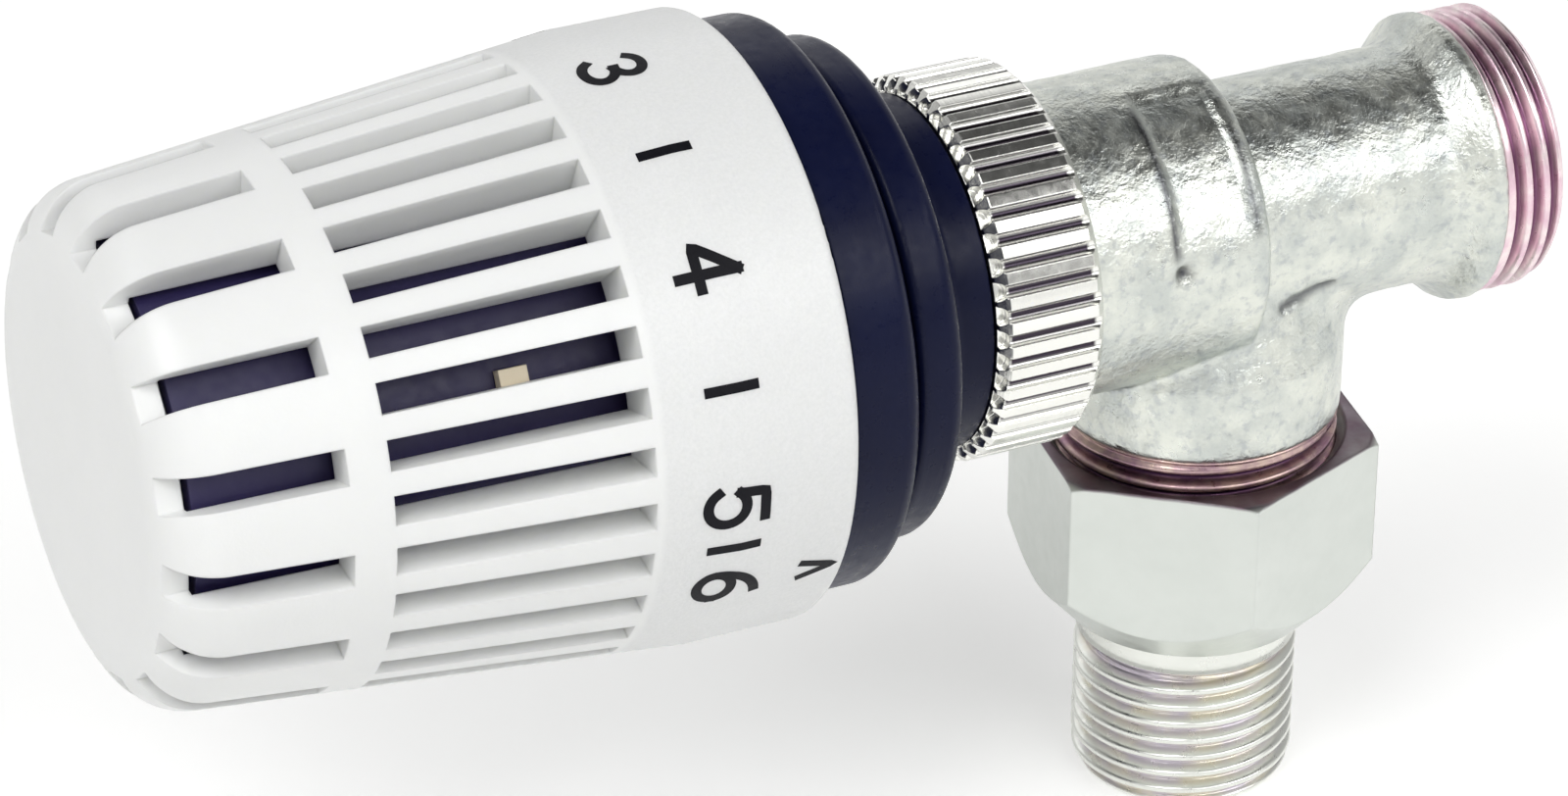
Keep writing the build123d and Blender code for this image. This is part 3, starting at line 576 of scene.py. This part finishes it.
def let_in_threads(mesh):
    """Draws the plain thread faces in to the root, so that the sleeves carry the teeth."""
    pipe_root = PIPE_THREAD_R - THREAD_DEPTH
    branch_root = BRANCH_THREAD_R - THREAD_DEPTH
    work = bmesh.new()
    work.from_mesh(mesh)
    bmesh.ops.remove_doubles(work, verts=work.verts, dist=WELD)
    for v in work.verts:
        out = hypot(v.co.y, v.co.z - AXIS_Z)
        if v.co.x > PIPE_THREAD_START - FACE_SLACK and pipe_root < out < PIPE_THREAD_R + RADIUS_SLACK:
            scale = pipe_root / out
            v.co.y *= scale
            v.co.z = AXIS_Z + (v.co.z - AXIS_Z) * scale
        out = hypot(v.co.x, v.co.y)
        if v.co.z < BRANCH_THREAD_END + FACE_SLACK and branch_root < out < BRANCH_THREAD_R + RADIUS_SLACK:
            v.co.x *= branch_root / out
            v.co.y *= branch_root / out
    work.to_mesh(mesh)
    work.free()


def softened(mesh, name):
    """The mesh rebuilt in small even cells, with its edges rounded over."""
    rough = bpy.data.objects.new("cast_rough", mesh)
    bpy.context.scene.collection.objects.link(rough)
    remesh = rough.modifiers.new("remesh", "REMESH")
    remesh.mode = "VOXEL"
    remesh.voxel_size = CAST_VOXEL
    soften = rough.modifiers.new("soften", "SMOOTH")
    soften.iterations = CAST_SMOOTH
    depsgraph = bpy.context.evaluated_depsgraph_get()
    cast = bpy.data.meshes.new_from_object(rough.evaluated_get(depsgraph))
    cast.name = name
    bpy.data.objects.remove(rough)
    return cast


def run_out_panel(cast):
    """Raises the sunk panel to the barrel's surface towards its lower end."""
    for v in cast.vertices:
        out = hypot(v.co.y, v.co.z - AXIS_Z)
        if PANEL_LOW < v.co.x < PANEL_HIGH and BARREL_R - PANEL_DEPTH < out < BARREL_R:
            turn = degrees(atan2(-v.co.y, v.co.z - AXIS_Z))
            raised = BARREL_R - (BARREL_R - out) * (1 - smooth_step(*PANEL_FADE, turn))
            v.co.y *= raised / out
            v.co.z = AXIS_Z + (v.co.z - AXIS_Z) * raised / out


def roughen(cast):
    """Lumps, grain, marks and the crease on the cast faces between the threads."""
    normals = [v.normal.copy() for v in cast.vertices]
    for v, normal in zip(cast.vertices, normals):
        if NECK_THREAD_END < v.co.x < PIPE_THREAD_START and v.co.z > BRANCH_THREAD_END:
            height = noise.noise(v.co / LUMP) * LUMP_HEIGHT
            height += noise.noise(v.co / GRAIN) * GRAIN_HEIGHT
            for centre, wide, high in CAST_MARKS:
                height += high * exp(-((v.co - centre).length / wide) ** 4)
            v.co += normal * (height - CREASE_DEPTH * in_crease(v.co))


def cast_body():
    """The body casting: the CAD mesh with its plain thread faces let in, softened and roughened."""
    mesh = nodes["valve_body"].data.copy()
    let_in_threads(mesh)
    cast = softened(mesh, "valve_body_cast")
    run_out_panel(cast)
    # painted shade along the panel's edges, in the crease and in the pit, stored on the mesh
    painted_shades = [cast_painted_shade(v.co) for v in cast.vertices]
    roughen(cast)
    cast.attributes.new("painted_shade", "FLOAT", "POINT").data.foreach_set("value", painted_shades)
    piece = new_object("valve_body_cast", cast, finishes["cast_nickel"], "valve")
    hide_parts("valve_body")


def body_threads():
    """Sleeves with the cut teeth of the pipe thread and of the branch thread."""
    lilac = bare_thread("pipe_bronze", (0.78, 0.55, 0.64), (0.92, 0.80, 0.80), (0.17, 0.07, 0.13))
    # the branch thread under the body: the same bronze made darker, as painted shade
    shaded_tan = bare_thread("shaded_branch_bronze", (0.34, 0.20, 0.27), (0.62, 0.47, 0.41), (0.05, 0.02, 0.05))
    pipe_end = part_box("valve_body")[1].x
    branch_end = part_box("valve_body")[0].z
    for name, end, start, crest, place, bronze in (
        ("pipe_thread", pipe_end, PIPE_THREAD_START, PIPE_THREAD_R, along_x, lilac),
        ("branch_thread", branch_end, BRANCH_THREAD_END, BRANCH_THREAD_R, along_z, shaded_tan),
    ):
        low = min(start, end)
        high = max(start, end)

        def radius_at(s, angle, crest=crest, end=end, start=start):
            depth = THREAD_DEPTH * (1 - tooth(s / PITCH - angle / (2 * pi)))
            depth *= smooth_step(0.0, THREAD_RUN_OUT, abs(s - start))
            chamfer = max(0.0, THREAD_CHAMFER - abs(s - end))
            return crest - max(depth, chamfer), depth / THREAD_DEPTH

        rows = even_rows(low, high, PITCH / THREAD_ROWS)
        inner = crest - THREAD_DEPTH - THREAD_SEAT
        mesh = turned_piece(name, rows, radius_at, inner, place)
        new_object(name, mesh, bronze, "valve")


# Dial print


def wheel_radius(x):
    """Outer radius of the handwheel: a cone up to the cylindrical ring."""
    ring_start = wheel_high.x - RING_LENGTH
    share = (x - wheel_low.x) / (ring_start - wheel_low.x)
    return WHEEL_END_R + (WHEEL_REAR_R - WHEEL_END_R) * min(share, 1.0)


def arc(centre, radii, start, end, count=28):
    """Points on an ellipse in millimetres between two angles in degrees."""
    points = []
    for i in range(count + 1):
        a = radians(start + (end - start) * i / count)
        points.append((centre[0] + radii[0] * cos(a), centre[1] + radii[1] * sin(a)))
    return points


# Each digit is a few strokes in millimetres, across and up from its middle
DIGITS = {
    1: [[(-1.3, 1.7), (0.3, 2.8), (0.3, -2.8)]],
    2: [arc((0, 1.3), (1.7, 1.5), 165, -35) + [(-1.75, -2.8)], [(-1.75, -2.8), (1.8, -2.8)]],
    3: [arc((-0.1, 1.4), (1.55, 1.4), 155, -80), arc((-0.1, -1.35), (1.8, 1.45), 85, -155)],
    4: [[(0.75, 2.8), (-1.9, -1.0), (2.0, -1.0)], [(0.75, 2.8), (0.75, -2.8)]],
    5: [[(1.6, 2.75), (-1.25, 2.75), (-1.5, 0.35)], arc((-0.05, -0.95), (1.85, 1.85), 140, -150)],
    6: [arc((0.0, -1.2), (1.75, 1.65), 0, 360, 40), arc((1.9, -0.9), (3.65, 3.9), 180, 100)],
}
DIGIT_ANGLES = {1: -87.0, 2: -50.0, 3: 3.8, 4: 49.8, 5: 94.8, 6: 114.6}
TICK_ANGLES = (-68.5, -32.5, 26.9, 71.9, 104.2)
TICK = [[(0.0, -2.0), (0.0, 2.0)]]
ARROW = [[(-1.0, -1.6), (0.0, 1.5), (1.0, -1.6)]]
ARROW_ANGLE = 115.2
ARROW_PLACE = -50.6 * MM


def resampled(points):
    """The same line with points no further apart than the ink step."""
    line = [Vector(points[0]) * MM]
    for point in points[1:]:
        end = Vector(point) * MM
        start = line[-1]
        count = max(1, int((end - start).length / INK_STEP))
        line += [start.lerp(end, (i + 1) / count) for i in range(count)]
    return line


def ink_stroke(points, width, place, angle, vertices, faces):
    """Adds one stroke, wrapped on the wheel, as a thin closed strip with square ends."""
    line = resampled(points)
    reach = (line[0] - line[1]).normalized() * width / 2
    line[0] = line[0] + reach
    line[-1] = line[-1] + (line[-1] - line[-2]).normalized() * width / 2
    first = len(vertices)
    for i, point in enumerate(line):
        ahead = line[min(i + 1, len(line) - 1)] - line[max(i - 1, 0)]
        side = Vector((-ahead.y, ahead.x)).normalized() * width / 2
        for edge, lift in ((side, INK), (-side, INK), (-side, -INK), (side, -INK)):
            x = place + point.y + edge.y
            radius = wheel_radius(x)
            turn = radians(angle) + (point.x + edge.x) / radius
            vertices.append(along_x(x, radius + lift, turn))
    for i in range(len(line) - 1):
        here = first + 4 * i
        for k in range(4):
            faces.append((here + k, here + (k + 1) % 4, here + 4 + (k + 1) % 4, here + 4 + k))
    last = first + 4 * (len(line) - 1)
    faces.append((first, first + 1, first + 2, first + 3))
    faces.append((last, last + 1, last + 2, last + 3))


def dial_print():
    ink = dial_ink()
    marks = []
    for digit, strokes in DIGITS.items():
        sized = [[(x * DIGIT_SIZE, y * DIGIT_SIZE) for x, y in points] for points in strokes]
        marks.append((f"dial_digit_{digit}", sized, DIGIT_STROKE, DIGIT_PLACE, DIGIT_ANGLES[digit]))
    for number, angle in enumerate(TICK_ANGLES, start=1):
        marks.append((f"dial_tick_{number}", TICK, TICK_STROKE, DIGIT_PLACE, angle))
    marks.append(("dial_arrow", ARROW, ARROW_STROKE, ARROW_PLACE, ARROW_ANGLE))
    for name, strokes, width, place, angle in marks:
        vertices = []
        faces = []
        for points in strokes:
            ink_stroke(points, width, place, angle, vertices, faces)
        mesh = mesh_from(name, vertices, faces)
        new_object(name, mesh, ink, "handwheel", smooth=False)


# Springs

SPRINGS = (
    ("return_spring_coil", "return_spring", "spindle"),
    ("overtravel_spring_coil", "overtravel_spring", "sensor"),
)


def springs():
    """Copies of the spring coils, baked in place, which stand in for the CAD springs."""
    for name, node, mover in SPRINGS:
        coil = bpy.data.objects.new(name, nodes[node].data.copy())
        bpy.context.scene.collection.objects.link(coil)
        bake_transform(coil)
        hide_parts(node)


tail_piece()
cast_body()
body_threads()
dial_print()
springs()


# Studio

FLOOR_SIZE = 30.0
FLOOR_COLOUR = (0.90, 0.90, 0.895, 1.0)
FLOOR_LIFT = 0.39               # glow towards the camera that takes the floor to near white
FLOOR_FAR_LIFT = 0.84           # the same where the lamps no longer reach
FLOOR_LIT_R = 0.35              # distance from the object at which the lamps start to fall off
FLOOR_FAR_R = 1.8


def floor_finish():
    f = Finish("floor", roughness=0.9)
    f.shader.inputs["Specular IOR Level"].default_value = 0.0
    f.shader.inputs["Base Color"].default_value = FLOOR_COLOUR
    f.shader.inputs["Emission Color"].default_value = FLOOR_COLOUR
    distance = f.add("ShaderNodeVectorMath", {0: f.place}, operation="LENGTH").outputs["Value"]
    lift = f.remap(distance, FLOOR_LIT_R, FLOOR_FAR_R, FLOOR_LIFT, FLOOR_FAR_LIFT)
    f.set(f.shader.inputs["Emission Strength"], f.math("MULTIPLY", f.seen(), lift))
    return f.material


def studio_floor():
    half = FLOOR_SIZE / 2
    level = cad_box[0][2]
    corners = [(-half, -half, level), (half, -half, level), (half, half, level), (-half, half, level)]
    mesh = mesh_from("floor", corners, [(0, 1, 2, 3)])
    plate = bpy.data.objects.new("floor", mesh)
    bpy.context.scene.collection.objects.link(plate)
    mesh.materials.append(floor_finish())


BACKDROP_TOP = 0.10             # up to this height the eye and the metal see a white backdrop
BACKDROP_FADE = 0.16
BACKDROP_COLOUR = (1.0, 1.0, 1.0)
# Sky brightness from the horizon to the zenith: height, grey
SKY = ((0.0, 0.18), (0.30, 0.45), (0.60, 0.52), (0.74, 0.17), (0.84, 0.07), (1.0, 0.05))


def studio_world():
    """A soft grey sky over a low white backdrop."""
    world = bpy.data.worlds.new("studio")
    world.use_nodes = True
    bpy.context.scene.world = world
    n = Nodes(world.node_tree)
    place = n.add("ShaderNodeTexCoord").outputs["Generated"]
    height = n.add("ShaderNodeSeparateXYZ", {"Vector": place}).outputs["Z"]
    ramp = n.add("ShaderNodeValToRGB", {"Fac": height})
    steps = ramp.color_ramp.elements
    steps.remove(steps[1])
    for level, grey in SKY:
        step = steps[0] if level == 0 else steps.new(level)
        step.color = (grey, grey, grey, 1.0)
    backdrop = n.math("MULTIPLY", n.seen(), n.remap(height, BACKDROP_FADE, BACKDROP_TOP))
    colour = n.mix(backdrop, ramp.outputs["Color"], BACKDROP_COLOUR)
    n.set(n.tree.nodes["Background"].inputs["Color"], colour)


def direction(azimuth, elevation):
    """Unit vector from the object, with the azimuth counted from the front towards the pipe's end."""
    return Vector((sin(azimuth) * cos(elevation), -cos(azimuth) * cos(elevation), sin(elevation)))


def soft_light(name, azimuth, elevation, distance, size, share):
    """An area light aimed at the object, whose share of a white surface's brightness is given."""
    data = bpy.data.lights.new(name, "AREA")
    data.shape = "RECTANGLE"
    data.size, data.size_y = size
    data.energy = share * pi * pi * distance * distance
    lamp = bpy.data.objects.new(name, data)
    bpy.context.scene.collection.objects.link(lamp)
    back = direction(radians(azimuth), radians(elevation))
    lamp.location = AXIS + back * distance
    lamp.rotation_euler = back.to_track_quat("Z", "Y").to_euler()


def photo_camera():
    data = bpy.data.cameras.new("photo_camera")
    data.sensor_fit = "HORIZONTAL"
    data.sensor_width = SENSOR_WIDTH
    data.lens = SENSOR_WIDTH * FOCAL_PIXELS / IMAGE_WIDTH
    data.clip_start = CAMERA_CLIP
    camera = bpy.data.objects.new("photo_camera", data)
    bpy.context.scene.collection.objects.link(camera)
    back = direction(CAMERA_AZIMUTH, CAMERA_ELEVATION)
    level = Vector((cos(CAMERA_AZIMUTH), sin(CAMERA_AZIMUTH), 0))
    upright = back.cross(level)
    right = level * cos(CAMERA_ROLL) + upright * sin(CAMERA_ROLL)
    up = back.cross(right)
    place = AXIS + right * CAMERA_RIGHT + up * CAMERA_UP + back * CAMERA_BACK
    turn = Matrix((right, up, back)).transposed().to_4x4()
    camera.matrix_world = Matrix.Translation(place) @ turn
    bpy.context.scene.camera = camera


studio_floor()
studio_world()
soft_light("key", azimuth=24, elevation=36, distance=1.1, size=(1.3, 0.42), share=0.44)
soft_light("left", azimuth=-62, elevation=50, distance=1.2, size=(0.8, 0.6), share=0.53)
soft_light("back", azimuth=172, elevation=30, distance=1.4, size=(1.6, 0.6), share=0.12)
photo_camera()
bpy.context.scene.view_settings.view_transform = "Standard"
